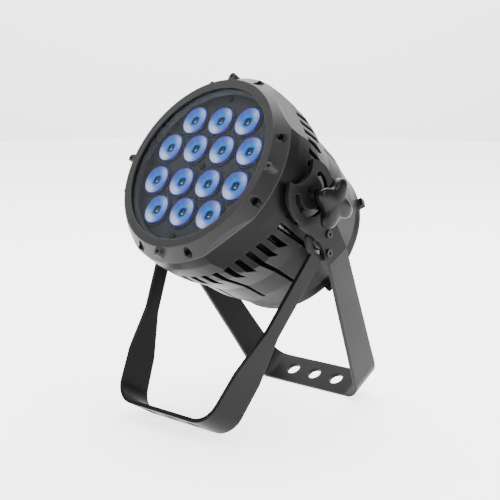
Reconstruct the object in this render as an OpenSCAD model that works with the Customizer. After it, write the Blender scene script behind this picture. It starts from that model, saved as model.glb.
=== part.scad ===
// Outdoor LED par can on a folding two-leg bracket.
// Millimetres, +Z up, the face looks towards -Y. The origin is on the floor, under the middle.

/* [Face] */
// Distance between neighbouring lenses
lens_pitch = 36; // [34:0.5:37]
// Visible radius of one lens
lens_r = 16; // [13:0.5:16.5]
// Outer radius of the flat ring round the face
ring_r = 90; // [89:0.5:91]
// Radius of the opening in the ring
window_r = 81.5; // [80:0.5:82]
// Upward aim of the head at rest, in degrees
aim = 31.4; // [0:0.2:45]

/* [Housing] */
// Largest radius of the cast housing
body_r = 101; // [100.5:0.25:101.5]
// Distance from the pivot to the face, along the head
face_a = 49.3; // [48.5:0.1:49.5]
// Distance from the pivot to the back, along the head
back_a = 121; // [119:0.5:124]
// Number of finned panels round the housing
panels = 16; // [16]
// Width of a vent slot at the front
vent_w = 6.6; // [5:0.2:7]

/* [Rear bracket] */
// Thickness of both bent straps
strap_t = 4; // [3.5:0.1:4]
// Outer half width of the rear bracket at the pivot
rear_x = 108.5; // [108.5:0.5:110]
// Length from the pivot to the underside of the bottom bar
rear_len = 255.5; // [254:0.5:262]
// Backward lean of the rear bracket, in degrees
rear_lean = 32; // [30:0.5:34]
// Width of the bottom bars
bar_w = 36; // [34:1:38]
// Radius of the clamp holes in the bottom bars
clamp_hole_r = 7.5; // [5.5:0.5:7.5]
// Distance between the clamp holes
clamp_pitch = 30.5; // [28:0.5:32]
// Radius of the tilt slot's centre line
slot_r = 19; // [18.5:0.25:19.5]

/* [Stand bracket] */
// Distance from the tilt pivot to the stand's own pivot
stand_drop = 47.3; // [47:0.1:48]
// Length from the stand's pivot to the underside of its bar
stand_len = 203.7; // [200:0.1:203.7]
// Width of the stand's upper strap
stand_w = 16; // [15:0.5:18]

/* [Knobs and controls] */
// Radius of the four-lobed knob over its tips
knob_r = 25; // [20:0.5:26]
// Travel of a menu button
button_travel = 1.5; // [1:0.1:2]

/* [Hidden] */

fine = 96;
small = 32;
eps = 0.1;
gap = 0.3;
hex_rise = 0.866 * lens_pitch;
stay_gap = 0.2;

// the cone of the bezel and the cast flats behind it
seam_a = 35.6;
cone_r = 100;
flat_d = 96.5;
flat_kink_a = 19;
flat_front_slope = 3.4;
flat_back_slope = 3.4;

// depth of the pieces behind the window, measured along the head from the pivot
lip_a = 47.3;
glass_t = 4;
panel_a = 39;
panel_t = 3;
board_a = 28;
board_t = 2;
sink_plate_t = 8;
ledge_a = board_a - board_t - sink_plate_t;

board_rear_a = -76;
lug_a = -99.5;
cap_lug_turns = [34, 146, 214, 326];

// screws
cap_head = 1.75;
low_head_r = 3.9;
low_head_h = 1.6;
m3 = 1.5;
m4 = 2;
m5 = 2.5;
m6 = 3;
pocket_r = 3.9;
pocket_ring_r = 95;
pocket_floor_a = 38.4;
pocket_turn = 20;
ear_ring_r = 94;
ear_r = 3.8;
ear_hole_r = 1.7;
ear_hole_deep = 8;
panel_screw_r = 73.8;

// pivot and knob
boss_r = 12.5;
stud_boss_r = 7.5;
boss_x = rear_x - strap_t - 1.1;
washer_x = rear_x - strap_t - gap;
knob_back_x = rear_x + 8.5;
knob_t = 9;
lobe_turn = 15 + aim;
stem_r = 8;
slot_half = 3.4;
slot_span = 113;
slot_from = rear_lean - 90 - slot_span;
slot_to = rear_lean - 90 + slot_span;
scallop_d = 35;
scallop_r = 21;
plate_r = 30.5;

// the two brackets
strap_lean = 10.9;
rear_bend = 74;
rear_corner_r = 27;
rear_arm_w = 28;
stand_x = rear_x - strap_t - 0.5;
stand_bend = 24;
stand_strap_lean = 12.4;
stand_corner_r = 26;
stand_tab_r = 7.5;
stand_slot_r = 17.8;
stand_slot_half = 2.8;
stand_sector_r = 25.5;
bar_flat = 1;
bend_steps = 16;
slot_step = 4;

// height of the pivot: the corner of the rear bar stands on the floor
rear_reach = rear_len * cos(rear_lean) + bar_w / 2 * sin(rear_lean) - bar_flat;
// the stand's pivot, from the tilt pivot
stand_y = stand_drop * sin(rear_lean);
stand_z = -stand_drop * cos(rear_lean);
// forward lean that brings the stand's bar down to the same floor
stand_need = rear_reach + stand_z + bar_flat;
stand_hyp = sqrt(stand_len * stand_len + bar_w * bar_w / 4);
stand_lean = acos(stand_need / stand_hyp) + atan(bar_w / 2 / stand_len);
fold = rear_lean + stand_lean;
// the stop screw lies straight below the stand's pivot at rest
stop_turn = 0.8;
stop_y = stand_y + stand_slot_r * sin(stop_turn);
stop_z = stand_z - stand_slot_r * cos(stop_turn);

pivot_y = -28.8;
pivot_z = rear_reach;

// rear panel
button_r = 4.2;
button_y = -14;
button_xs = [-27, -9, 9, 27];
socket_xs = [-34, 34];

// outline of the cast housing: [radius, distance along the head]
shell = [
    [cone_r, seam_a - 0.4], [body_r, 24], [body_r, 4], [99.8, -9], [98.2, -16],
    [92.6, -40], [90.8, -66], [86.8, -84], [82.6, -104], [82.2, -112]
];
shell_inside = [
    [78.6, -112], [79, -104], [83.2, -84], [87.2, -66], [89, -40], [92, -14],
    [92, 13.5], [80, 13.5], [80, ledge_a], [86, ledge_a], [86, seam_a - 0.4]
];
vent_a = 8;
vent_end_a = -21;
vent_slant = 9;
channel_end_a = -70;
channel_floor_r = 84.6;
clear_of_boss = 0.2;

// lens centres: rows of three, four, four and three
function lens_rows() = [
    [3, 0.5 * lens_pitch + hex_rise], [4, 0.5 * lens_pitch],
    [4, -0.5 * lens_pitch], [3, -0.5 * lens_pitch - hex_rise]
];
function lens_places() = [
    for (row = lens_rows())
        for (i = [0 : row[0] - 1])
            [(i - (row[0] - 1) / 2) * lens_pitch, row[1]]
];

// ---- frames ----

// x to the right, y up the face, z out of the face, with the pivot at the origin
module head_frame() {
    translate([0, pivot_y, pivot_z])
        rotate([90 - aim, 0, 0])
            children();
}

module rear_frame() {
    translate([0, pivot_y, pivot_z])
        rotate([rear_lean, 0, 0])
            children();
}

module stand_frame() {
    translate([0, pivot_y + stand_y, pivot_z + stand_z])
        rotate([-stand_lean, 0, 0])
            children();
}

// a cylinder along X from x0 to x1, at (y, z) from the tilt pivot
module x_rod(r, x0, x1, y, z) {
    translate([x0, pivot_y + y, pivot_z + z])
        rotate([0, 90, 0])
            cylinder(r = r, h = x1 - x0, $fn = small);
}

// the same inside the head's own frame
module head_x_rod(r, x0, x1, y, a) {
    translate([x0, y, a])
        rotate([0, 90, 0])
            cylinder(r = r, h = x1 - x0, $fn = fine);
}

module tube(r_out, r_in, a0, a1) {
    translate([0, 0, a0])
        difference() {
            cylinder(r = r_out, h = a1 - a0, $fn = fine);
            translate([0, 0, -eps])
                cylinder(r = r_in, h = a1 - a0 + 2 * eps, $fn = fine);
        }
}

module disc(r, a0, a1, n = fine) {
    translate([0, 0, a0])
        cylinder(r = r, h = a1 - a0, $fn = n);
}

module ring_of(places) {
    for (t = places)
        rotate([0, 0, t])
            children();
}

module both_sides() {
    children();
    mirror([1, 0, 0])
        children();
}

// low round-head screw along z: the head's underside is at z = 0
module low_screw(r, length) {
    difference() {
        union() {
            translate([0, 0, -length])
                cylinder(r = r - 0.05, h = length + 0.5, $fn = small);
            cylinder(r = low_head_r, h = low_head_h, $fn = small);
        }
        translate([0, 0, low_head_h - 1.1])
            cylinder(r = 1.8, h = 2, $fn = 6);
    }
}

// socket head screw along z: the head's underside is at z = 0
module cap_screw(r, length) {
    difference() {
        translate([0, 0, -length])
            cylinder(r = r - 0.05, h = length + 2 * r, $fn = small);
        translate([0, 0, r * 0.9])
            cylinder(r = r * 0.85, h = 2 * r, $fn = 6);
    }
    difference() {
        cylinder(r = cap_head * r, h = 2 * r, $fn = small);
        translate([0, 0, r * 0.9])
            cylinder(r = r * 0.85, h = 2 * r, $fn = 6);
    }
}

function bezel_turns() = [
    for (quarter = [0 : 90 : 270])
        for (side = [-1, 1])
            quarter + side * pocket_turn
];

// ---- the face ----

module flat_cuts() {
    front_d = flat_d - 40 * tan(flat_front_slope);
    back_d = flat_d + 60 * tan(flat_back_slope);
    for (turn = [45 : 90 : 315])
        rotate([0, 0, turn])
            translate([0, 80, 0])
                rotate([90, 0, 0])
                    linear_extrude(height = 160)
                        polygon([
                            [flat_d, flat_kink_a], [front_d, flat_kink_a + 40], [150, flat_kink_a + 40],
                            [150, flat_kink_a - 60], [back_d, flat_kink_a - 60]
                        ]);
}

module front_bezel() {
    color("dimgray")
        head_frame()
            difference() {
                union() {
                    difference() {
                        rotate_extrude($fn = fine)
                            polygon([
                                [window_r, face_a], [ring_r, face_a], [cone_r, seam_a],
                                [85.2, seam_a], [85.2, lip_a], [window_r, lip_a]
                            ]);
                        flat_cuts();
                    }
                    ring_of([0 : 90 : 270]) {
                        translate([ear_ring_r, 0, seam_a + 4])
                            cylinder(r = ear_r, h = face_a - seam_a - 4, $fn = small);
                        translate([ring_r - 4, -ear_r, face_a - 8])
                            cube([ear_ring_r - ring_r + 4, 2 * ear_r, 8]);
                    }
                }
                ring_of([0 : 90 : 270])
                    translate([ear_ring_r, 0, face_a - ear_hole_deep])
                        cylinder(r = ear_hole_r, h = 20, $fn = small);
                ring_of(bezel_turns())
                    translate([pocket_ring_r, 0, 0]) {
                        disc(pocket_r, pocket_floor_a, face_a + 1, small);
                        disc(m4 + 0.05, seam_a - 1, face_a, small);
                    }
            }
}

module bezel_screws() {
    color("black")
        head_frame()
            ring_of(bezel_turns())
                translate([pocket_ring_r, 0, pocket_floor_a])
                    cap_screw(m4, 14);
}

module glass_cover() {
    color("lightcyan", 0.3)
        head_frame()
            disc(84.8, lip_a - glass_t, lip_a - stay_gap);
}

module glass_gasket() {
    color("black")
        head_frame()
            tube(85, window_r, lip_a - glass_t - 1.2, lip_a - glass_t);
}

module glass_retainer() {
    color("black")
        head_frame()
            difference() {
                tube(85, 79.2, ledge_a + sink_plate_t, lip_a - glass_t - 1.2);
                translate([0, 0, panel_a - 2])
                    cylinder(r1 = 79, r2 = 82, h = 8, $fn = fine);
            }
}

module lens_panel() {
    color("slategray")
        head_frame()
            difference() {
                union() {
                    disc(78.8, panel_a - panel_t, panel_a);
                    for (p = lens_places())
                        translate([p[0], p[1], 0])
                            disc(lens_r + 1.4, panel_a - panel_t, panel_a + 1, fine);
                }
                for (p = lens_places())
                    translate([p[0], p[1], 0])
                        disc(lens_r + 0.1, panel_a - 10, panel_a + 3, fine);
                disc(m3 + 0.1, panel_a - 10, panel_a + 3, small);
                ring_of([0 : 90 : 270])
                    translate([panel_screw_r, 0, 0])
                        disc(m3 + 0.1, panel_a - 10, panel_a + 3, small);
            }
}

// one optic: a cone that gathers the light, under a low dome
module lens() {
    translate([0, 0, board_a + 1.6])
        cylinder(r1 = 5.5, r2 = lens_r - 0.6, h = panel_a - panel_t - board_a - 1.6, $fn = fine);
    disc(lens_r, panel_a - panel_t, panel_a + 0.6);
    translate([0, 0, panel_a + 0.6])
        cylinder(r1 = lens_r, r2 = lens_r - 4, h = 1.6, $fn = fine);
}

module lenses() {
    color("lightblue")
        head_frame()
            for (p = lens_places())
                translate([p[0], p[1], 0])
                    lens();
}

module panel_screw() {
    disc(m3, board_a - 6, panel_a, small);
    disc(3, panel_a, panel_a + 1.4, small);
}

module panel_screws() {
    color("black")
        head_frame() {
            panel_screw();
            ring_of([0 : 90 : 270])
                translate([panel_screw_r, 0, 0])
                    panel_screw();
        }
}

module panel_spacer() {
    tube(3.2, m3 + 0.1, board_a, panel_a - panel_t);
}

module panel_spacers() {
    color("goldenrod")
        head_frame() {
            panel_spacer();
            ring_of([0 : 90 : 270])
                translate([panel_screw_r, 0, 0])
                    panel_spacer();
        }
}

module led_board() {
    color("white")
        head_frame()
            difference() {
                disc(78.8, board_a - board_t, board_a);
                disc(m3 + 0.1, board_a - 3, board_a + 1, small);
                ring_of([0 : 90 : 270])
                    translate([panel_screw_r, 0, 0])
                        disc(m3 + 0.1, board_a - 3, board_a + 1, small);
            }
}

module leds() {
    color("gold")
        head_frame()
            for (p = lens_places())
                translate([p[0] - 4, p[1] - 4, board_a])
                    cube([8, 8, 1.3]);
}

// ---- the body ----

module heat_sink() {
    color("silver")
        head_frame()
            difference() {
                union() {
                    disc(85.8, ledge_a, ledge_a + sink_plate_t);
                    disc(36, -60, ledge_a + 1);
                    for (i = [0 : panels * 2 - 1])
                        rotate([0, 0, i * 180 / panels])
                            translate([30, -1, -58])
                                cube([49, 2, 59 + ledge_a]);
                }
                disc(m3 + 0.05, board_a - 7, board_a, small);
                ring_of([0 : 90 : 270])
                    translate([panel_screw_r, 0, 0])
                        disc(m3 + 0.05, board_a - 7, board_a, small);
                ring_of([22.5 : 45 : 337.5])
                    translate([82.4, 0, 0])
                        union() {
                            disc(m3 + 0.05, ledge_a - 1, board_a, small);
                            disc(2.6, ledge_a + sink_plate_t - 2, board_a, small);
                        }
            }
}

module sink_screws() {
    color("silver")
        head_frame()
            ring_of([22.5 : 45 : 337.5])
                translate([82.4, 0, 0]) {
                    disc(m3, 15, ledge_a + sink_plate_t - 2, small);
                    disc(2.4, ledge_a + sink_plate_t - 2, ledge_a + sink_plate_t - 0.3, small);
                }
}

// a through slot in the shell, slanted at its rear end
module vent(turn) {
    rotate([0, 0, turn])
        translate([75, 0, 0])
            rotate([90, 0, 90])
                linear_extrude(height = 40)
                    polygon([
                        [-vent_w / 2, vent_a], [vent_w / 2, vent_a],
                        [vent_w / 2, vent_end_a], [-vent_w / 2, vent_end_a + vent_slant]
                    ]);
}

// a long wedge cut, open at the front and floored by its trough behind
module channel(turn) {
    rotate([0, 0, turn])
        translate([channel_floor_r, 0, 0])
            rotate([90, 0, 90])
                linear_extrude(height = 30)
                    polygon([
                        [-vent_w / 2, vent_a], [vent_w / 2, vent_a],
                        [vent_w * 0.38, channel_end_a], [-vent_w * 0.1, channel_end_a]
                    ]);
}

// the rib inside the shell that closes the rear of a channel
module trough(turn) {
    rotate([0, 0, turn])
        rotate([90, 0, 0])
            linear_extrude(height = vent_w + 4, center = true)
                polygon([
                    [channel_floor_r - 2.4, channel_end_a - 2], [87.6, channel_end_a - 2],
                    [94, -22], [channel_floor_r - 2.4, -32]
                ]);
}

module boss() {
    head_x_rod(boss_r, 86, boss_x, 0, 0);
    head_x_rod(stud_boss_r, 86, boss_x, 0, -slot_r);
}

module housing() {
    pitch = 360 / panels;
    color("dimgray")
        head_frame()
            difference() {
                union() {
                    rotate_extrude($fn = fine)
                        polygon(concat(shell, shell_inside));
                    boss();
                    mirror([1, 0, 0])
                        boss();
                    for (i = [0 : panels - 1])
                        if (abs(sin(i * pitch)) > clear_of_boss)
                            trough(i * pitch);
                    ring_of([30 : 60 : 330]) {
                        translate([70, 0, lug_a])
                            cylinder(r = 5, h = 14, $fn = small);
                        translate([70, -5, lug_a])
                            cube([11.8, 10, 14]);
                    }
                }
                flat_cuts();
                ring_of([30 : 60 : 330])
                    translate([70, 0, 0])
                        disc(m4, lug_a - 1, lug_a + 12, small);
                for (i = [0 : panels - 1])
                    for (j = [-1 : 1])
                        if (abs(sin((i + j / 3) * pitch)) > clear_of_boss) {
                            if (j == 0)
                                channel(i * pitch);
                            else
                                vent((i + j / 3) * pitch);
                        }
                both_sides() {
                    head_x_rod(m6, 80, 120, 0, 0);
                    head_x_rod(m6, 80, 120, 0, -slot_r);
                }
                ring_of(bezel_turns())
                    translate([pocket_ring_r, 0, 0])
                        disc(m4, 20, 40, small);
                ring_of([22.5 : 45 : 337.5])
                    translate([82.4, 0, 0])
                        disc(m3 + 0.05, 13, 20, small);
            }
}

module housing_gasket() {
    color("black")
        head_frame()
            difference() {
                tube(99, 87, seam_a - 0.36, seam_a - 0.04);
                flat_cuts();
                ring_of(bezel_turns())
                    translate([pocket_ring_r, 0, 0])
                        disc(m4 + 0.2, 30, 40, small);
            }
}

module driver_board() {
    color("darkgreen")
        head_frame() {
            disc(68, board_rear_a, board_rear_a + 2);
            translate([-34, 8, board_rear_a - 8])
                cube([30, 14, 8]);
            translate([8, -22, board_rear_a - 6])
                cube([22, 14, 6]);
            ring_of([45 : 90 : 315])
                translate([30, 0, 0])
                    disc(3, board_rear_a + 2, -60, small);
        }
}

module power_supply() {
    color("silver")
        head_frame() {
            translate([-45, -23, board_rear_a - 36])
                cube([90, 46, 24]);
            for (x = [-40, 40])
                for (y = [-18, 18])
                    translate([x, y, 0])
                        disc(3, board_rear_a - 12, board_rear_a, small);
        }
}

module rear_cap() {
    color("dimgray")
        head_frame()
            difference() {
                union() {
                    rotate_extrude($fn = fine)
                        polygon([
                            [0, -back_a], [76, -back_a], [81.6, 6.5 - back_a], [82.2, -112.4],
                            [78.2, -112.4], [78.2, -103], [74, -103], [74, 3.5 - back_a], [0, 3.5 - back_a]
                        ]);
                    ring_of([30 : 60 : 330])
                        translate([70, 0, -back_a + 3])
                            cylinder(r = 5, h = back_a - 3 + lug_a - gap, $fn = small);
                    for (turn = cap_lug_turns)
                        rotate([0, 0, turn])
                            translate([74, -4.5, -119.5])
                                cube([11.5, 9, 6]);
                }
                ring_of([30 : 60 : 330])
                    translate([70, 0, 0]) {
                        disc(m4, -back_a - 1, lug_a, small);
                        disc(cap_head * m4 + 0.3, -back_a - 1, -back_a + 4.2, small);
                    }
                translate([-21, 6, -back_a - 1])
                    cube([42, 22, 3.2]);
                translate([-19, 8, -back_a])
                    cube([38, 18, 6]);
                for (x = button_xs)
                    translate([x, button_y, 0])
                        disc(button_r + gap, -back_a - 1, -back_a + 5, small);
                for (x = socket_xs)
                    for (y = [42, -42])
                        translate([x, y, 0])
                            disc(y > 0 ? 11 : 9.5, -back_a - 1, -back_a + 5, small);
                translate([0, 44, 0])
                    disc(4, -back_a - 1, -back_a + 5, small);
                for (x = [-9, 9])
                    translate([x, -58, 0])
                        disc(m4, -back_a - 1, -back_a + 5, small);
            }
}

module cap_gasket() {
    color("black")
        head_frame()
            tube(82, 78.7, -112.4, -112);
}

module cap_screws() {
    color("silver")
        head_frame()
            ring_of([30 : 60 : 330])
                translate([70, 0, -back_a + 4.2])
                    rotate([180, 0, 0])
                        cap_screw(m4, 26);
}

module display_window() {
    color("black")
        head_frame()
            translate([-20.9, 6.1, -back_a + 0.2])
                cube([41.8, 21.8, 2]);
}

module menu_button(x) {
    color("darkslategray")
        head_frame()
            translate([x, button_y, 0]) {
                disc(button_r, -back_a - 2.2, -back_a + 4, small);
                disc(button_r + 1.4, -back_a + 3.8, -back_a + 5, small);
            }
}

module menu_button_1() {
    menu_button(button_xs[0]);
}

module menu_button_2() {
    menu_button(button_xs[1]);
}

module menu_button_3() {
    menu_button(button_xs[2]);
}

module menu_button_4() {
    menu_button(button_xs[3]);
}

// a round panel socket: flange, collar and a recess with its contacts
module panel_socket(x, y, r, contacts) {
    translate([x, y, 0])
        difference() {
            union() {
                translate([-r - 3, -r - 3, -back_a - 2])
                    cube([2 * r + 6, 2 * r + 6, 2]);
                disc(r + 1.5, -back_a - 7, -back_a - 2, small);
                disc(r, -back_a, -back_a + 8, small);
            }
            disc(r - 2, -back_a - 8, -back_a + 2, small);
            for (i = [0 : contacts - 1])
                rotate([0, 0, i * 360 / contacts])
                    translate([r * 0.45, 0, 0])
                        disc(1, -back_a + 1, -back_a + 6, small);
        }
}

module power_inlet() {
    color("royalblue")
        head_frame()
            panel_socket(socket_xs[0], 42, 10.8, 3);
}

module power_outlet() {
    color("lightgray")
        head_frame()
            panel_socket(socket_xs[1], 42, 10.8, 3);
}

module data_inlet() {
    color("black")
        head_frame()
            panel_socket(socket_xs[0], -42, 9.3, 5);
}

module data_outlet() {
    color("black")
        head_frame()
            panel_socket(socket_xs[1], -42, 9.3, 5);
}

module pressure_vent() {
    color("black")
        head_frame()
            translate([0, 44, 0]) {
                disc(7, -back_a - 3, -back_a, small);
                disc(3.9, -back_a, -back_a + 7, small);
            }
}

module safety_eye() {
    color("silver")
        head_frame()
            translate([0, -58, -back_a]) {
                translate([-18, -6, -2.5])
                    cube([36, 12, 2.5]);
                translate([0, 2, -2.5])
                    rotate([90, 0, 0])
                        difference() {
                            cylinder(r = 14, h = 4, $fn = small);
                            translate([0, 0, -1])
                                cylinder(r = 10, h = 6, $fn = small);
                            translate([-20, 0, -1])
                                cube([40, 20, 6]);
                        }
                for (x = [-9, 9])
                    translate([x, 0, 0])
                        cylinder(r = m4 - 0.05, h = 9, $fn = small);
            }
}

// ---- pivot and knobs ----

module pivot_screw() {
    head_frame()
        translate([rear_x + gap, 0, 0])
            rotate([0, 90, 0])
                cap_screw(m6, rear_x - 84);
}

module pivot_screw_right() {
    color("black")
        pivot_screw();
}

module pivot_screw_left() {
    color("black")
        mirror([1, 0, 0])
            pivot_screw();
}

module pivot_washers() {
    color("black")
        head_frame()
            both_sides()
                difference() {
                    head_x_rod(boss_r - 0.5, boss_x, washer_x, 0, 0);
                    head_x_rod(m6, boss_x - 1, washer_x + 1, 0, 0);
                }
}

// four-lobed clamping knob on a round stem
module knob() {
    head_frame()
        translate([0, 0, -slot_r])
            rotate([0, 90, 0]) {
                translate([0, 0, rear_x + gap])
                    cylinder(r = stem_r, h = knob_back_x - rear_x, $fn = small);
                translate([0, 0, knob_back_x])
                    linear_extrude(height = knob_t)
                        difference() {
                            circle(r = knob_r, $fn = fine);
                            for (i = [0 : 3])
                                rotate([0, 0, 90 * i + lobe_turn])
                                    translate([knob_r * 1.12, 0])
                                        circle(r = knob_r * 0.54, $fn = fine);
                        }
                translate([0, 0, knob_back_x + knob_t])
                    cylinder(r1 = knob_r * 0.5, r2 = knob_r * 0.4, h = 1.4, $fn = fine);
            }
}

module knob_right() {
    color("black")
        difference() {
            knob();
            head_frame()
                head_x_rod(m6, 90, rear_x + 12.3, 0, -slot_r);
        }
}

module knob_left() {
    mirror([1, 0, 0])
        knob_right();
}

module knob_stud_right() {
    color("silver")
        head_frame()
            head_x_rod(m6 - 0.05, 86.2, rear_x + 12, 0, -slot_r);
}

module knob_stud_left() {
    mirror([1, 0, 0])
        knob_stud_right();
}

// ---- brackets ----

// the right half of a U seen from the front, moved inwards by the inset, from top to bottom
function u_centre_x(half, bend, len, lean, r) =
    half - r * cos(lean) - (len - bend + r * sin(lean) - r) / cos(lean) * sin(lean);

function u_half(half, bend, len, lean, r, inset, top) = concat(
    [[half - inset, top], [half - inset, -bend + inset * tan(lean / 2)]],
    [
        for (i = [0 : bend_steps])
            let (turn = lean + (90 - lean) * i / bend_steps)
                [
                    u_centre_x(half, bend, len, lean, r) + (r - inset) * cos(turn),
                    r - len - (r - inset) * sin(turn)
                ]
    ]
);

function mirrored(points) = [
    for (i = [len(points) - 1 : -1 : 0])
        [-points[i][0], points[i][1]]
];

function backwards(points) = [
    for (i = [len(points) - 1 : -1 : 0])
        points[i]
];

// a flat strap bent into a U
module u_strap(half, bend, len, lean, r, top) {
    outer = u_half(half, bend, len, lean, r, 0, top);
    inner = u_half(half, bend, len, lean, r, strap_t, top);
    rotate([90, 0, 0])
        translate([0, 0, -60])
            linear_extrude(height = 120)
                polygon(concat(outer, mirrored(outer), backwards(mirrored(inner)), backwards(inner)));
}

// a side outline of points [y, z], drawn right through the bracket
module side_plate(half, outline) {
    translate([-half - 5, 0, 0])
        rotate([90, 0, 90])
            linear_extrude(height = 2 * half + 10)
                polygon(outline);
}

module side_disc(half, r) {
    translate([-half - 5, 0, 0])
        rotate([0, 90, 0])
            cylinder(r = r, h = 2 * half + 10, $fn = fine);
}

module clamp_holes(len) {
    for (i = [-1 : 1])
        translate([i * clamp_pitch, 0, -len - 5])
            cylinder(r = clamp_hole_r, h = 20, $fn = fine);
}

module floor_cut() {
    translate([-200, -300, -20])
        cube([400, 600, 20]);
}

// points along an arc, by angle from the first axis
function arc(cy, cz, r, from, to) =
    let (n = ceil(abs(to - from) / slot_step))
        [
            for (i = [0 : n])
                let (turn = from + (to - from) * i / n)
                    [cy + r * cos(turn), cz + r * sin(turn)]
        ];

function inner_steps(points) = [
    for (i = [1 : len(points) - 2])
        points[i]
];

// a curved slot through both cheeks, about the X axis, with round ends
module arc_slot(r, half, from, to) {
    translate([-150, 0, 0])
        rotate([90, 0, 90])
            linear_extrude(height = 300)
                polygon(concat(
                    arc(0, 0, r + half, from, to),
                    inner_steps(arc(r * cos(to), r * sin(to), half, to, to + 180)),
                    arc(0, 0, r - half, to, from),
                    inner_steps(arc(r * cos(from), r * sin(from), half, from + 180, from + 360))
                ));
}

module rear_side() {
    side_disc(rear_x, plate_r);
    side_plate(rear_x, [
        [-25, -6], [25, -6], [28, -19], [rear_arm_w / 2, -46], [rear_arm_w / 2 + 0.5, -90],
        [bar_w / 2 - 1, -200], [bar_w / 2, -228], [bar_w / 2, -270], [-bar_w / 2, -270],
        [-bar_w / 2, -228], [-bar_w / 2 + 1, -200], [-rear_arm_w / 2 - 0.5, -90],
        [-rear_arm_w / 2, -46], [-28, -19]
    ]);
}

module rear_bracket() {
    color("dimgray")
        difference() {
            rear_frame()
                difference() {
                    intersection() {
                        u_strap(rear_x, rear_bend, rear_len, strap_lean, rear_corner_r, 40);
                        rear_side();
                    }
                    clamp_holes(rear_len);
                }
            floor_cut();
            translate([0, pivot_y, pivot_z])
                arc_slot(slot_r, slot_half, slot_from, slot_to);
            x_rod(m6 + 0.1, -130, 130, 0, 0);
            x_rod(m5 + 0.05, -130, 130, stand_y, stand_z);
            x_rod(m5 + 0.05, -130, 130, stop_y, stop_z);
            x_rod(scallop_r, -130, 130, -scallop_d * sin(rear_lean), scallop_d * cos(rear_lean));
        }
}

module stand_side() {
    side_disc(stand_x, stand_tab_r);
    intersection() {
        side_disc(stand_x, stand_sector_r);
        side_plate(stand_x, [[-5, 4], [5, 4], [33, -20], [33, -40], [-40, -40], [-40, -31]]);
    }
    side_plate(stand_x, [
        [-5, -1], [5, -1], [stand_w / 2, -20], [stand_w / 2, -104], [bar_w / 2 - 1, -150],
        [bar_w / 2, -185], [bar_w / 2, -220], [-bar_w / 2, -220], [-bar_w / 2, -185],
        [-bar_w / 2 + 1, -150], [-stand_w / 2, -104], [-stand_w / 2, -20]
    ]);
}

module front_bracket() {
    color("dimgray")
        difference() {
            stand_frame()
                difference() {
                    intersection() {
                        u_strap(stand_x, stand_bend, stand_len, stand_strap_lean, stand_corner_r, 20);
                        stand_side();
                    }
                    clamp_holes(stand_len);
                }
            floor_cut();
            x_rod(m5 + 0.05, -130, 130, stand_y, stand_z);
            translate([0, pivot_y + stand_y, pivot_z + stand_z])
                arc_slot(stand_slot_r, stand_slot_half, -90 + stop_turn - fold, -90 + stop_turn);
        }
}

module stand_screw(y, z) {
    translate([rear_x, pivot_y + y, pivot_z + z])
        rotate([0, 90, 0])
            low_screw(m5, 12);
}

module stand_pivot_screws() {
    color("black")
        both_sides()
            stand_screw(stand_y, stand_z);
}

module stand_stop_screws() {
    color("black")
        both_sides()
            stand_screw(stop_y, stop_z);
}

module nut(y, z, across, high) {
    inner = stand_x - strap_t - gap;
    difference() {
        translate([inner - high, pivot_y + y, pivot_z + z])
            rotate([0, 90, 0])
                cylinder(r = across / sqrt(3), h = high, $fn = 6);
        x_rod(m5, inner - high - 1, inner + 1, y, z);
    }
}

module stand_pivot_nuts() {
    color("silver")
        both_sides()
            nut(stand_y, stand_z, 8, 2.4);
}

module stand_stop_nuts() {
    color("silver")
        both_sides()
            nut(stop_y, stop_z, 8, 5);
}

front_bezel();
bezel_screws();
glass_cover();
glass_gasket();
glass_retainer();
lens_panel();
lenses();
panel_screws();
panel_spacers();
led_board();
leds();
heat_sink();
sink_screws();
housing();
housing_gasket();
driver_board();
power_supply();
rear_cap();
cap_gasket();
cap_screws();
display_window();
menu_button_1();
menu_button_2();
menu_button_3();
menu_button_4();
power_inlet();
power_outlet();
data_inlet();
data_outlet();
pressure_vent();
safety_eye();
pivot_screw_right();
pivot_screw_left();
pivot_washers();
knob_right();
knob_left();
knob_stud_right();
knob_stud_left();
rear_bracket();
front_bracket();
stand_pivot_screws();
stand_stop_screws();
stand_pivot_nuts();
stand_stop_nuts();
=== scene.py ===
import math

import bmesh
import bpy
from mathutils import Matrix, Vector


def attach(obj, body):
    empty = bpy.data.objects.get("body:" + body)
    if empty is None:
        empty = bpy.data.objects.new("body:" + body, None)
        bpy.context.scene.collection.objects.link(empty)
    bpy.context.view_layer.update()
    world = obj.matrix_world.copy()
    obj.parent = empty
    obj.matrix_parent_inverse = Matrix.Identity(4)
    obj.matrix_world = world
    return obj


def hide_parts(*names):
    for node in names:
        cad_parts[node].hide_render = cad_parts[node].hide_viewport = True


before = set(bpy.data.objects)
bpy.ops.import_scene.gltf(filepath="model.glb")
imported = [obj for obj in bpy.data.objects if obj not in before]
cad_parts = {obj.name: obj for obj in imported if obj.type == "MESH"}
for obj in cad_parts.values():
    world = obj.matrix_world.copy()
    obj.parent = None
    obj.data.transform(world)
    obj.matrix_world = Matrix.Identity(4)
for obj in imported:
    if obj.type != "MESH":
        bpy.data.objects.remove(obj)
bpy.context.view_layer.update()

# ---------------------------------------------------------------- places, in metres
PIVOT = Vector((0.0, -0.0288, 0.2252148))
AIM = math.radians(31.4)
LENS_PITCH = 0.036
PANEL = 0.039
STUD = -0.019
KNOB_BACK = 0.117
KNOB_TURN = math.radians(63.0)
HEAD = Matrix.Translation(PIVOT) @ Matrix.Rotation(math.radians(90) - AIM, 4, "X")


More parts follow.
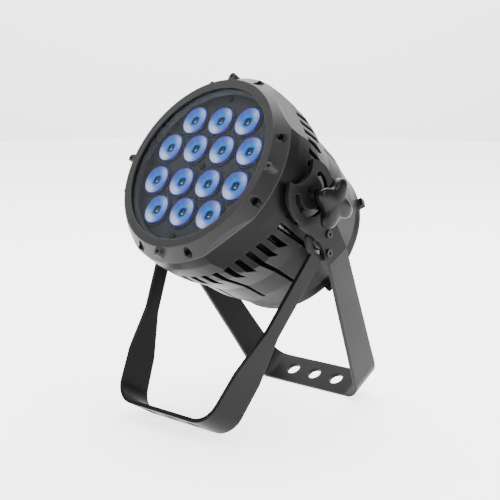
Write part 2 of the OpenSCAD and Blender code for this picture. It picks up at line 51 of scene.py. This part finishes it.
def add_object(name, bm, material, body=None, smooth=True, matrix=None):
    mesh = bpy.data.meshes.new(name)
    bmesh.ops.recalc_face_normals(bm, faces=bm.faces)
    bm.to_mesh(mesh)
    bm.free()
    if matrix is not None:
        mesh.transform(matrix)
    for p in mesh.polygons:
        p.use_smooth = smooth
    obj = bpy.data.objects.new(name, mesh)
    bpy.context.scene.collection.objects.link(obj)
    if material is not None:
        mesh.materials.append(material)
    if body:
        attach(obj, body)
    return obj


# ---------------------------------------------------------------- materials
class Graph:
    """A short way to build a node material."""

    def __init__(self, name):
        self.mat = bpy.data.materials.new(name)
        self.mat.use_nodes = True
        self.tree = self.mat.node_tree
        self.tree.nodes.clear()
        self.out = self.tree.nodes.new("ShaderNodeOutputMaterial")
        self.coord = self.tree.nodes.new("ShaderNodeTexCoord")

    def node(self, kind, **values):
        n = self.tree.nodes.new(kind)
        for key, value in values.items():
            if key.startswith("_"):
                setattr(n, key[1:], value)
            else:
                n.inputs[key.replace("__", " ")].default_value = value
        return n

    def link(self, a, b):
        self.tree.links.new(a, b)

    def noise(self, scale, detail=3.0, rough=0.5, space="Object"):
        n = self.node("ShaderNodeTexNoise", Scale=scale, Detail=detail, Roughness=rough)
        self.link(self.coord.outputs[space], n.inputs["Vector"])
        return n.outputs["Fac"]

    def ramp(self, value, stops):
        r = self.node("ShaderNodeValToRGB")
        e = r.color_ramp.elements
        for el, (at, col) in ((e[0], stops[0]), (e[1], stops[-1])):
            el.position = at
            el.color = (*col, 1.0)
        for at, col in stops[1:-1]:
            e.new(at).color = (*col, 1.0)
        self.link(value, r.inputs["Fac"])
        return r.outputs["Color"]

    def span(self, value, lo, hi):
        m = self.node("ShaderNodeMapRange")
        m.inputs["To Min"].default_value = lo
        m.inputs["To Max"].default_value = hi
        self.link(value, m.inputs["Value"])
        return m.outputs["Result"]

    def math(self, op, a, b=None):
        m = self.node("ShaderNodeMath", _operation=op)
        for socket, value in zip(m.inputs, (a, b)):
            if value is None:
                continue
            if isinstance(value, (int, float)):
                socket.default_value = value
            else:
                self.link(value, socket)
        return m.outputs[0]


def mix_colour(g, fac, a, b):
    m = g.node("ShaderNodeMix", _data_type="RGBA")
    m.inputs[6].default_value = (*a, 1) if not hasattr(a, "links") else (1, 1, 1, 1)
    if hasattr(a, "links"):
        g.link(a, m.inputs[6])
    if hasattr(b, "links"):
        g.link(b, m.inputs[7])
    else:
        m.inputs[7].default_value = (*b, 1)
    g.link(fac, m.inputs[0])
    return m.outputs[2]


def surface(name, dark, light, rough, metallic=0.0, grain=900, grain_depth=0.00006,
            edge=0.0008, wear=None, spec=0.5, coat=0.0, blotch=9, streak=None):
    """Moulded, cast or painted stuff: two tones, a fine grain, rounded edges and lighter worn edges."""
    g = Graph(name)
    p = g.node("ShaderNodeBsdfPrincipled", Metallic=metallic)
    p.inputs["Specular IOR Level"].default_value = spec
    p.inputs["Coat Weight"].default_value = coat
    p.inputs["Coat Roughness"].default_value = 0.25
    colour = g.ramp(g.noise(blotch, 4.0), [(0.3, dark), (0.7, light)])
    speck = g.noise(grain * 1.7, 2.0)
    colour = mix_colour(g, g.span(speck, 0.0, 0.22), colour, light)
    if wear:
        round_ = g.node("ShaderNodeBevel", _samples=4, Radius=edge * 1.6)
        geo = g.node("ShaderNodeNewGeometry")
        dot = g.node("ShaderNodeVectorMath", _operation="DOT_PRODUCT")
        g.link(round_.outputs["Normal"], dot.inputs[0])
        g.link(geo.outputs["True Normal"], dot.inputs[1])
        bent = g.math("SUBTRACT", 1.0, dot.outputs["Value"])
        worn = g.math("MULTIPLY", bent, g.span(g.noise(55, 3.0), 0.4, 5.0))
        worn = g.math("MINIMUM", worn, 0.55)
        colour = mix_colour(g, worn, colour, wear)
    g.link(colour, p.inputs["Base Color"])
    rough_noise = g.noise(38, 4.0)
    g.link(g.span(rough_noise, rough - 0.06, rough + 0.08), p.inputs["Roughness"])
    bevel = g.node("ShaderNodeBevel", _samples=4, Radius=edge)
    if streak:
        wave = g.node("ShaderNodeTexNoise", Scale=1.0, Detail=3.0)
        stretch = g.node("ShaderNodeMapping")
        stretch.inputs["Scale"].default_value = streak
        g.link(g.coord.outputs["Object"], stretch.inputs["Vector"])
        g.link(stretch.outputs["Vector"], wave.inputs["Vector"])
        height = wave.outputs["Fac"]
    else:
        height = g.noise(grain, 3.0, 0.6)
    bump = g.node("ShaderNodeBump", Strength=0.55, Distance=grain_depth)
    g.link(height, bump.inputs["Height"])
    g.link(bevel.outputs["Normal"], bump.inputs["Normal"])
    g.link(bump.outputs["Normal"], p.inputs["Normal"])
    g.link(p.outputs[0], g.out.inputs["Surface"])
    return g.mat


CAST = surface("cast_coat", (0.0024, 0.0023, 0.0021), (0.0052, 0.0050, 0.0046), 0.36, grain=1500,
               grain_depth=0.00005, edge=0.0011, wear=(0.026, 0.025, 0.024), spec=0.09, coat=0.0)
BEZEL = surface("bezel_coat", (0.010, 0.010, 0.0102), (0.017, 0.017, 0.0174), 0.42, grain=1500,
                grain_depth=0.00006, edge=0.0011, wear=(0.070, 0.070, 0.075), spec=0.20, coat=0.0)
BRACKET = surface("bracket_coat", (0.0036, 0.0034, 0.0032), (0.0075, 0.0072, 0.0068), 0.38, grain=1700,
                  grain_depth=0.00005, edge=0.0012, wear=(0.034, 0.033, 0.032), spec=0.10, coat=0.0)
# painted shade: near-black screws with little shine, so the screw pockets in the bezel and panel read
# dark
POCKET_PAINTED_SHADE = surface("pocket_painted_shade", (0.002, 0.002, 0.002), (0.004, 0.004, 0.004), 0.5, spec=0.1,
                 edge=0.0002)
BLACK_OXIDE = surface("black_oxide", (0.003, 0.003, 0.003), (0.008, 0.008, 0.008), 0.34, 0.3,
                      grain=2500, grain_depth=0.00002, edge=0.0003, wear=(0.06, 0.06, 0.06), spec=0.25)
CHROME = surface("bright_zinc", (0.62, 0.63, 0.65), (0.8, 0.8, 0.8), 0.14, 1.0, grain=600,
                 grain_depth=0.00001, edge=0.0003)
STAINLESS = surface("stainless", (0.4, 0.4, 0.41), (0.58, 0.58, 0.58), 0.3, 1.0,
                    edge=0.0003, streak=(900, 40, 900), grain_depth=0.00002)
ALUMINIUM = surface("raw_aluminium", (0.42, 0.42, 0.43), (0.62, 0.62, 0.63), 0.42, 0.9,
                    grain=400, edge=0.0003)
PANEL_GREY = surface("panel_coat", (0.0085, 0.0087, 0.0092), (0.0130, 0.0133, 0.0140), 0.42, grain=1800,
                     grain_depth=0.00004, edge=0.0006, spec=0.15)
PLASTIC = surface("black_plastic", (0.0030, 0.0029, 0.0029), (0.0060, 0.0058, 0.0058), 0.24, grain=1900,
                  grain_depth=0.00002, edge=0.0010, wear=(0.015, 0.015, 0.015), spec=0.13, coat=0.0)
RUBBER = surface("seal_rubber", (0.01, 0.01, 0.01), (0.02, 0.02, 0.02), 0.7, grain=700, edge=0.0002)
BLUE = surface("blue_plastic", (0.02, 0.09, 0.42), (0.03, 0.12, 0.5), 0.4, edge=0.0005)
GREY = surface("grey_plastic", (0.42, 0.43, 0.44), (0.52, 0.53, 0.54), 0.42, edge=0.0005)
BRASS = surface("brass", (0.5, 0.36, 0.13), (0.62, 0.46, 0.2), 0.3, 1.0, edge=0.0002)
WHITE_BOARD = surface("white_board", (0.7, 0.7, 0.69), (0.8, 0.8, 0.79), 0.4, edge=0.0002)
GREEN_BOARD = surface("green_board", (0.01, 0.12, 0.04), (0.02, 0.17, 0.06), 0.35, edge=0.0002)
SCREEN = surface("screen", (0.004, 0.006, 0.008), (0.01, 0.014, 0.018), 0.12, edge=0.0002, coat=0.5)
PHOSPHOR = surface("phosphor", (0.8, 0.72, 0.25), (0.9, 0.8, 0.4), 0.5, edge=0.0002)


def pane():
    """A clear flat window: it only mirrors, more at a slant, with faint dust."""
    g = Graph("clear_pane")
    clear = g.node("ShaderNodeBsdfTransparent", Color=(0.93, 0.96, 1.0, 1))
    shine = g.node("ShaderNodeBsdfGlossy", Roughness=0.04, Color=(0.9, 0.95, 1.0, 1))
    slant = g.node("ShaderNodeLayerWeight", Blend=0.5)
    geo = g.node("ShaderNodeNewGeometry")
    grazing = g.math("POWER", slant.outputs["Facing"], 5.0)
    outside = g.math("SUBTRACT", 1.0, geo.outputs["Backfacing"])
    dust = g.span(g.noise(60, 5.0), 0.008, 0.02)
    fac = g.math("MULTIPLY", g.math("ADD", g.math("MULTIPLY", grazing, 0.6), dust), outside)
    m = g.node("ShaderNodeMixShader")
    g.link(fac, m.inputs[0])
    g.link(clear.outputs[0], m.inputs[1])
    g.link(shine.outputs[0], m.inputs[2])
    g.link(m.outputs[0], g.out.inputs["Surface"])
    return g.mat


PANE = pane()

LOOK = {
    "front_bezel": BEZEL, "housing": CAST, "rear_cap": CAST, "bezel_screws": POCKET_PAINTED_SHADE,
    "glass_cover": PANE, "glass_gasket": RUBBER, "housing_gasket": RUBBER, "cap_gasket": RUBBER,
    "glass_retainer": RUBBER, "lens_panel": PANEL_GREY, "panel_screws": POCKET_PAINTED_SHADE,
    "panel_spacers": BRASS, "led_board": WHITE_BOARD, "leds": PHOSPHOR, "heat_sink": ALUMINIUM,
    "sink_screws": STAINLESS, "driver_board": GREEN_BOARD, "power_supply": ALUMINIUM,
    "cap_screws": STAINLESS, "display_window": SCREEN, "power_inlet": BLUE, "power_outlet": GREY,
    "data_inlet": PLASTIC, "data_outlet": PLASTIC, "pressure_vent": PLASTIC,
    "safety_eye": STAINLESS, "pivot_screw_right": BLACK_OXIDE, "pivot_screw_left": BLACK_OXIDE,
    "pivot_washers": RUBBER, "knob_stud_right": STAINLESS, "knob_stud_left": STAINLESS,
    "rear_bracket": BRACKET, "front_bracket": BRACKET, "stand_pivot_screws": BLACK_OXIDE,
    "stand_stop_screws": BLACK_OXIDE, "stand_pivot_nuts": CHROME, "stand_stop_nuts": CHROME,
    "menu_button_1": PLASTIC, "menu_button_2": PLASTIC, "menu_button_3": PLASTIC,
    "menu_button_4": PLASTIC, "knob_right": PLASTIC, "knob_left": PLASTIC, "lenses": PANE,
}
for name, look in LOOK.items():
    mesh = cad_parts[name].data
    if not mesh.materials:
        mesh.materials.append(look)
    for i in range(len(mesh.materials)):
        mesh.materials[i] = look


# ---------------------------------------------------------------- the lenses, with painted light
def lens_centres():
    rise = 0.866 * LENS_PITCH
    rows = ((3, 0.5 * LENS_PITCH + rise), (4, 0.5 * LENS_PITCH),
            (4, -0.5 * LENS_PITCH), (3, -0.5 * LENS_PITCH - rise))
    for count, y in rows:
        for i in range(count):
            yield (i - (count - 1) / 2) * LENS_PITCH, y


def paint_optic_light():
    """Painted light for the optics, given as emission: a dark die in the middle, pale blue round it,
    and a painted highlight, white towards the rim.
    """
    g = Graph("optic_painted_light")
    uv = g.node("ShaderNodeUVMap", _uv_map="lens")
    sep = g.node("ShaderNodeSeparateXYZ")
    g.link(uv.outputs[0], sep.inputs[0])
    u, v = sep.outputs[0], sep.outputs[1]
    r = g.math("SQRT", g.math("ADD", g.math("MULTIPLY", u, u), g.math("MULTIPLY", v, v)))
    angle = g.math("ARCTAN2", v, u)
    fold = g.math("COSINE", g.math("MULTIPLY", angle, 4.0))
    wavy = g.math("ADD", r, g.math("MULTIPLY", fold, 0.018))
    ring = g.ramp(wavy, [
        (0.00, (0.001, 0.002, 0.02)), (0.24, (0.001, 0.003, 0.04)), (0.30, (0.004, 0.05, 0.40)),
        (0.38, (0.01, 0.28, 0.80)), (0.52, (0.015, 0.20, 0.70)), (0.70, (0.05, 0.13, 0.55)),
        (0.82, (0.09, 0.12, 0.52)), (0.92, (0.05, 0.07, 0.42)), (0.96, (0.01, 0.02, 0.20)),
        (1.00, (0.003, 0.005, 0.06))])

    def towards(direction, sharpness):
        facing = g.math("COSINE", g.math("SUBTRACT", angle, direction))
        return g.math("POWER", g.math("MAXIMUM", facing, 0.0), sharpness)

    # painted highlight: a white band near the rim, strongest towards one side of each optic and weaker
    # on the opposite side
    painted_highlight_side = towards(-2.15, 3.0)
    painted_highlight_back = towards(0.75, 4.0)
    rays = g.node("ShaderNodeTexNoise", Scale=1.0, Detail=2.0)
    spoke = g.node("ShaderNodeCombineXYZ")
    g.link(g.math("MULTIPLY", g.math("COSINE", angle), 9.0), spoke.inputs[0])
    g.link(g.math("MULTIPLY", g.math("SINE", angle), 9.0), spoke.inputs[1])
    g.link(g.math("MULTIPLY", r, 1.2), spoke.inputs[2])
    g.link(spoke.outputs[0], rays.inputs["Vector"])
    streaky = g.span(rays.outputs["Fac"], 0.55, 1.35)
    band = g.ramp(r, [(0.0, (0, 0, 0)), (0.40, (0, 0, 0)), (0.62, (0.85, 0.85, 0.85)),
                      (0.86, (1, 1, 1)), (0.94, (0, 0, 0))])
    painted_highlight = g.math("ADD", painted_highlight_side, g.math("MULTIPLY", painted_highlight_back, 0.45))
    painted_highlight = g.math("MULTIPLY", g.math("MULTIPLY", painted_highlight, band), streaky)
    painted_highlight = g.math("MINIMUM", g.math("MULTIPLY", painted_highlight, 1.3), 0.9)
    ring = mix_colour(g, painted_highlight, ring, (0.72, 0.80, 1.0))
    strength = g.math("MULTIPLY", streaky, 1.15)
    pale, green = (0.55, 0.65, 1.0), (0.01, 0.50, 0.36)
    dies = ((-0.05, -0.09, 0.028, 0.05, pale), (0.05, -0.09, 0.028, 0.05, pale),
            (0.02, 0.06, 0.03, 0.03, green))
    for at_u, at_v, wide, tall, hue in dies:
        across = g.math("DIVIDE", g.math("ABSOLUTE", g.math("SUBTRACT", u, at_u)), wide)
        along = g.math("DIVIDE", g.math("ABSOLUTE", g.math("SUBTRACT", v, at_v)), tall)
        inside = g.math("LESS_THAN", g.math("MAXIMUM", across, along), 1.0)
        ring = mix_colour(g, inside, ring, hue)
    # the emission paints the light seen in the optics; it is painted light, not a lamp
    e = g.node("ShaderNodeEmission")
    g.link(ring, e.inputs["Color"])
    g.link(strength, e.inputs["Strength"])
    gloss = g.node("ShaderNodeBsdfGlossy", Roughness=0.08, Color=(0.8, 0.9, 1.0, 1))
    f = g.node("ShaderNodeLayerWeight", Blend=0.5)
    m = g.node("ShaderNodeMixShader")
    slant = g.math("MULTIPLY", g.math("POWER", f.outputs["Facing"], 5.0), 0.5)
    g.link(g.math("ADD", slant, 0.012), m.inputs[0])
    g.link(e.outputs[0], m.inputs[1])
    g.link(gloss.outputs[0], m.inputs[2])
    g.link(m.outputs[0], g.out.inputs["Surface"])
    return g.mat


def lens_mesh():
    """Every optic in one mesh: a shallow dish with a rolled rim, and a radial map of its own."""
    profile = [(0.0, -0.0010), (0.10, -0.0010), (0.2, -0.0008), (0.35, -0.0005), (0.55, -0.0001),
               (0.75, 0.0003), (0.88, 0.0006), (0.95, 0.0006), (1.0, 0.0001), (1.0, -0.002)]
    radius, around = 0.0156, 40
    lift = PANEL + 0.0012
    step = 2 * math.pi / around
    bm = bmesh.new()
    layer = bm.loops.layers.uv.new("lens")
    for cx, cy in lens_centres():
        rings = [[bm.verts.new((cx, cy, lift + profile[0][1]))]]
        for f, z in profile[1:]:
            rings.append([
                bm.verts.new((cx + radius * f * math.cos(step * i),
                              cy + radius * f * math.sin(step * i),
                              lift + z)) for i in range(around)])
        for k in range(1, len(rings)):
            for i in range(around):
                j = (i + 1) % around
                a = rings[k]
                b = rings[k - 1]
                quad = (b[0], a[i], a[j]) if k == 1 else (b[i], a[i], a[j], b[j])
                face = bm.faces.new(quad)
                for loop in face.loops:
                    x, y = loop.vert.co.x - cx, loop.vert.co.y - cy
                    loop[layer].uv = (x / radius, y / radius)
    return bm


painted_light_optics = add_object("lenses_painted_light", lens_mesh(), paint_optic_light(), "head", matrix=HEAD)
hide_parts("lenses")


# ---------------------------------------------------------------- the clamp knobs
def knob_mesh():
    """Four rounded lobes with scooped gaps, on a short round neck."""
    bm = bmesh.new()
    around = 96
    tip, waist, thick = 0.0246, 0.0150, 0.0092
    turns = [2 * math.pi * i / around for i in range(around)]

    def outline(t):
        lobe = 0.5 + 0.5 * math.cos(4 * t)
        return waist + (tip - waist) * lobe ** 1.05

    def lobed_loop(scale, x):
        return [bm.verts.new((x, outline(t) * scale * math.cos(t), outline(t) * scale * math.sin(t)))
                for t in turns]

    def round_loop(r, x):
        return [bm.verts.new((x, r * math.cos(t), r * math.sin(t))) for t in turns]

    def join(a, b):
        for i in range(around):
            j = (i + 1) % around
            bm.faces.new((a[i], a[j], b[j], b[i]))

    body = [(0.90, 0.0), (0.97, 0.0007), (1.0, 0.0022), (1.0, thick - 0.0024),
            (0.97, thick - 0.0008), (0.90, thick)]
    crown = [(0.70, thick + 0.0005), (0.45, thick + 0.0009), (0.2, thick + 0.0011)]
    loops = [lobed_loop(scale, x) for scale, x in body + crown]
    for a, b in zip(loops, loops[1:]):
        join(a, b)
    bm.faces.new(loops[-1])
    neck = [(0.0078, 0.0), (0.0078, -0.0062), (0.0072, -0.0068), (0.0072, -0.0082),
            (0.0031, -0.0082), (0.0031, 0.0)]
    rings = [round_loop(r, x) for r, x in neck]
    join(loops[0], rings[0])
    for a, b in zip(rings, rings[1:]):
        join(a, b)
    bm.faces.new(rings[-1])
    return bm


def put_knob(name, node, side):
    turn = Matrix.Rotation(KNOB_TURN, 4, "X")
    at = HEAD @ Vector((side * KNOB_BACK, 0, STUD))
    flip = Matrix.Diagonal((side, 1, 1, 1))
    place = Matrix.Translation(at) @ flip @ turn
    obj = add_object(name, knob_mesh(), PLASTIC, node, matrix=place)
    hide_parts(node)


put_knob("clamp_knob_right", "knob_right", 1)
put_knob("clamp_knob_left", "knob_left", -1)


# ---------------------------------------------------------------- floor, light and camera
def floor():
    bm = bmesh.new()
    for x, y in ((-6, -6), (6, -6), (6, 6), (-6, 6)):
        bm.verts.new((x, y, 0.0))
    bm.faces.new(bm.verts)
    g = Graph("pale_floor")
    p = g.node("ShaderNodeBsdfPrincipled", Roughness=0.9)
    p.inputs["Specular IOR Level"].default_value = 0.1
    p.inputs["Emission Color"].default_value = (1, 1, 1, 1)
    p.inputs["Emission Strength"].default_value = 2.7
    g.link(g.ramp(g.noise(2.0), [(0.3, (0.93, 0.93, 0.93)), (0.7, (0.95, 0.95, 0.95))]),
           p.inputs["Base Color"])
    g.link(p.outputs[0], g.out.inputs["Surface"])
    add_object("studio_floor", bm, g.mat, smooth=False)


floor()


def soft_light(name, at, size, power, colour=(1, 1, 1), aim=(0, 0, 0.18)):
    data = bpy.data.lights.new(name, "AREA")
    data.shape = "RECTANGLE"
    data.size, data.size_y = size
    data.energy = power
    data.color = colour
    obj = bpy.data.objects.new(name, data)
    obj.location = at
    obj.rotation_euler = (Vector(aim) - Vector(at)).to_track_quat("-Z", "Y").to_euler()
    bpy.context.scene.collection.objects.link(obj)


soft_light("key_right", (1.9, 0.5, 1.0), (0.45, 1.3), 22)
soft_light("top", (-0.3, 0.7, 2.6), (2.4, 2.4), 125)
soft_light("front_left", (-1.42, -0.8, 1.4), (1.4, 1.4), 9)
soft_light("front_low", (0.1, -1.9, 0.35), (1.2, 0.5), 4)


def studio():
    """A plain sky that is white behind the object and greyer elsewhere."""
    world = bpy.data.worlds.new("studio")
    bpy.context.scene.world = world
    world.use_nodes = True
    tree = world.node_tree
    back = tree.nodes["Background"]
    coord = tree.nodes.new("ShaderNodeTexCoord")
    dot = tree.nodes.new("ShaderNodeVectorMath")
    dot.operation = "DOT_PRODUCT"
    dot.inputs[1].default_value = (-0.7, 0.7, 0.5)
    span = tree.nodes.new("ShaderNodeMapRange")
    for key, value in (("From Min", 0.55), ("From Max", 1.1), ("To Min", 0.3), ("To Max", 4.4)):
        span.inputs[key].default_value = value
    tree.links.new(coord.outputs["Generated"], dot.inputs[0])
    tree.links.new(dot.outputs["Value"], span.inputs["Value"])
    tree.links.new(span.outputs["Result"], back.inputs[1])
    back.inputs[0].default_value = (1, 1, 1, 1)


studio()

cam_data = bpy.data.cameras.new("camera")
cam_data.lens = 75.487
cam_data.sensor_width = 36
cam = bpy.data.objects.new("camera", cam_data)
cam.location = PIVOT + Vector((0.72614, -0.71895, 0.08350))
cam.rotation_euler = (math.radians(81.825), 0, math.radians(44.039))
bpy.context.scene.collection.objects.link(cam)
bpy.context.scene.camera = cam
